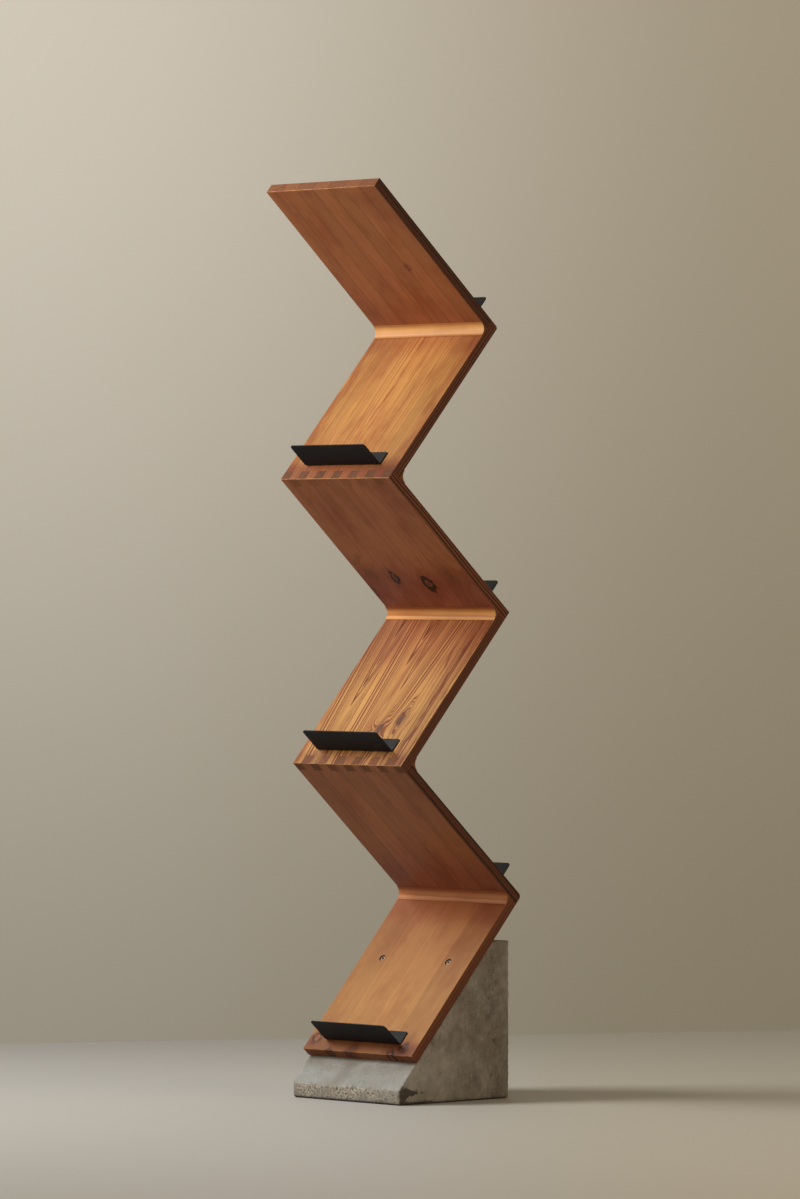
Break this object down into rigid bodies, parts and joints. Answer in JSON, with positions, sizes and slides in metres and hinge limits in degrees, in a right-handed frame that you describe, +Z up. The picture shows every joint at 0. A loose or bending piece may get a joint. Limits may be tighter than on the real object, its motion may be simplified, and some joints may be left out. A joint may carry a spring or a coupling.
{
  "type": "magazine shelf",
  "caption": "Upright zigzag magazine shelf of finger-jointed pine boards with bent steel ledges on both sides, bolted to a concrete wedge foot.",
  "frame": {"origin": "middle of the concrete foot's underside, on the floor", "axes": "+Z up, +X across the boards, +Y from the front of the shelf to its back"},
  "size_m": [0.3, 0.3964, 1.7243],
  "materials": {
    "oiled_pine": "oiled orange-brown softwood, satin",
    "pale_pine": "oiled lighter softwood, satin",
    "black_coated_steel": "matt black powder coat",
    "black_screw": "blackened steel",
    "concrete": "cast grey concrete, smooth slope and rough front",
    "zinc_steel": "zinc-plated steel"
  },
  "bodies": {
    "root": {"concrete_foot": "concrete", "board_1": "oiled_pine", "board_2": "oiled_pine", "board_3": "oiled_pine", "board_4": "oiled_pine", "board_5": "oiled_pine", "board_6": "oiled_pine", "cove_strip_1": "pale_pine", "cove_strip_2": "pale_pine", "cove_strip_3": "pale_pine", "cove_strip_4": "pale_pine", "cove_strip_5": "pale_pine", "ledge_1": "black_coated_steel", "ledge_2": "black_coated_steel", "ledge_3": "black_coated_steel", "ledge_4": "black_coated_steel", "ledge_5": "black_coated_steel", "ledge_6": "black_coated_steel", "ledge_1_screw_left": "black_screw", "ledge_1_screw_right": "black_screw", "ledge_2_screw_left": "black_screw", "ledge_2_screw_right": "black_screw", "ledge_3_screw_left": "black_screw", "ledge_3_screw_right": "black_screw", "ledge_4_screw_left": "black_screw", "ledge_4_screw_right": "black_screw", "ledge_5_screw_left": "black_screw", "ledge_5_screw_right": "black_screw", "ledge_6_screw_left": "black_screw", "ledge_6_screw_right": "black_screw", "foot_bolt_left": "zinc_steel", "foot_bolt_right": "zinc_steel", "foot_washer_left": "zinc_steel", "foot_washer_right": "zinc_steel", "foot_sleeve_left": "zinc_steel", "foot_sleeve_right": "zinc_steel"}
  },
  "joints": []
}
